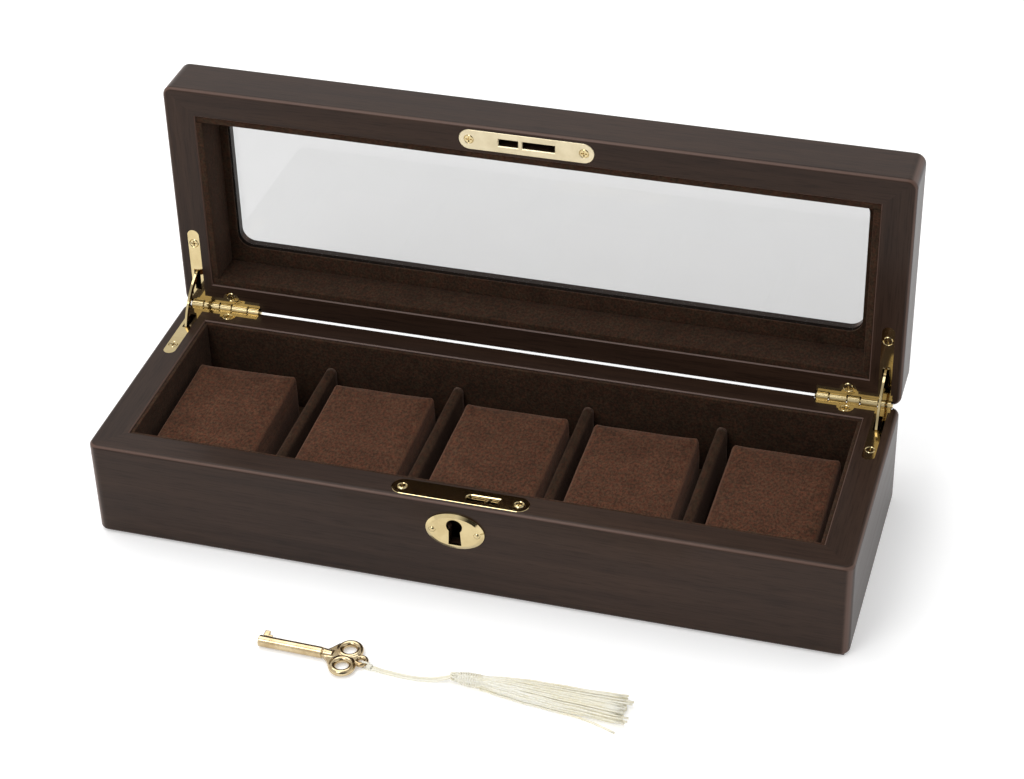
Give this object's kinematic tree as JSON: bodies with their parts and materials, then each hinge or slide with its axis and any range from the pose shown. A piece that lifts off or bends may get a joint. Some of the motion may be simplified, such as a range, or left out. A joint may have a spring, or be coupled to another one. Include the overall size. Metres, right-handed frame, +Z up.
{
  "type": "watch box",
  "caption": "Long lockable wooden watch box with a glazed hinged lid, quadrant hinges, suede pillows between dividers, and a key on a tassel.",
  "frame": {"origin": "centre of the underside, on the surface that the box rests on", "axes": "+X to the right along the length, +Y from the lock to the hinges, +Z up"},
  "size_m": [0.34, 0.2073, 0.164],
  "materials": {
    "stained_wood": "satin dark stain with fine grain",
    "board": "plain board",
    "felt": "felt",
    "pillow_suede": "brushed suede",
    "lining_suede": "brushed suede on board",
    "glass": "clear polished",
    "polished_brass": "polished",
    "satin_brass": "satin",
    "lock_metal": "plain pressed",
    "key_metal": "polished cast",
    "cord": "smooth twisted cord",
    "tassel_yarn": "silky yarn"
  },
  "bodies": {
    "base": {"base_front": "stained_wood", "base_right": "stained_wood", "base_back": "stained_wood", "base_left": "stained_wood", "bottom_board": "board", "underside_felt": "felt", "lining_floor": "lining_suede", "lining_front": "lining_suede", "lining_back": "lining_suede", "lining_left": "lining_suede", "lining_right": "lining_suede", "divider_1": "lining_suede", "divider_2": "lining_suede", "divider_3": "lining_suede", "divider_4": "lining_suede", "lock_face_plate": "polished_brass", "lock_case": "lock_metal", "lock_hook_pin": "lock_metal", "lock_key_post": "lock_metal", "lock_spring_leaf": "lock_metal", "lock_plate_screws": "polished_brass", "escutcheon": "polished_brass", "escutcheon_pins": "polished_brass", "hinge_base_leaf_right": "polished_brass", "hinge_base_leaf_left": "polished_brass", "hinge_pin_right": "polished_brass", "hinge_pin_left": "polished_brass", "hinge_base_screws": "polished_brass"},
    "lid": {"lid_front": "stained_wood", "lid_right": "stained_wood", "lid_back": "stained_wood", "lid_left": "stained_wood", "lid_top_panel": "stained_wood", "lid_lining_front": "lining_suede", "lid_lining_back": "lining_suede", "lid_lining_left": "lining_suede", "lid_lining_right": "lining_suede", "lid_window_border": "lining_suede", "lid_glass": "glass", "hinge_lid_leaf_right": "polished_brass", "hinge_lid_leaf_left": "polished_brass", "hinge_lid_screws": "polished_brass", "strike_plate": "satin_brass", "strike_plate_screws": "polished_brass"},
    "stay_left": {"hinge_stay_left": "polished_brass"},
    "stay_right": {"hinge_stay_right": "polished_brass"},
    "lock_bolt": {"lock_hook": "lock_metal"},
    "pillow_1": {"pillow_1": "pillow_suede"},
    "pillow_2": {"pillow_2": "pillow_suede"},
    "pillow_3": {"pillow_3": "pillow_suede"},
    "pillow_4": {"pillow_4": "pillow_suede"},
    "pillow_5": {"pillow_5": "pillow_suede"},
    "key": {"key": "key_metal", "cord_knot": "cord", "key_cord_back": "cord", "key_cord_front": "cord", "tassel_head": "tassel_yarn", "tassel_skirt": "tassel_yarn"}
  },
  "joints": [
    {"name": "lid_hinge", "type": "hinge", "parent": "base", "child": "lid", "pos_m": [0, 0.0575, 0.04855], "axis": [1, 0, 0], "range_deg": [0, 90.5]},
    {"name": "stay_left_swing", "type": "hinge", "parent": "base", "child": "stay_left", "pos_m": [-0.1624, 0.0575, 0.04855], "axis": [1, 0, 0], "range_deg": [0, 45.25]},
    {"name": "stay_right_swing", "type": "hinge", "parent": "base", "child": "stay_right", "pos_m": [0.1624, 0.0575, 0.04855], "axis": [1, 0, 0], "range_deg": [0, 45.25]},
    {"name": "lock_bolt_swing", "type": "hinge", "parent": "base", "child": "lock_bolt", "pos_m": [0.0015, -0.0512, 0.04135], "axis": [0, -1, 0], "range_deg": [0, 106]},
    {"name": "pillow_1_lift", "type": "slide", "parent": "base", "child": "pillow_1", "axis": [0, 0, 1], "range_m": [0, 0.025]},
    {"name": "pillow_2_lift", "type": "slide", "parent": "base", "child": "pillow_2", "axis": [0, 0, 1], "range_m": [0, 0.025]},
    {"name": "pillow_3_lift", "type": "slide", "parent": "base", "child": "pillow_3", "axis": [0, 0, 1], "range_m": [0, 0.025]},
    {"name": "pillow_4_lift", "type": "slide", "parent": "base", "child": "pillow_4", "axis": [0, 0, 1], "range_m": [0, 0.025]},
    {"name": "pillow_5_lift", "type": "slide", "parent": "base", "child": "pillow_5", "axis": [0, 0, 1], "range_m": [0, 0.025]},
    {"name": "key_lift", "type": "slide", "parent": "base", "child": "key", "axis": [0, 0, 1], "range_m": [0, 0.04]}
  ],
  "couplings": [
    {"joint": "stay_left_swing", "follows": "lid_hinge", "ratio": 0.5},
    {"joint": "stay_right_swing", "follows": "lid_hinge", "ratio": 0.5}
  ]
}
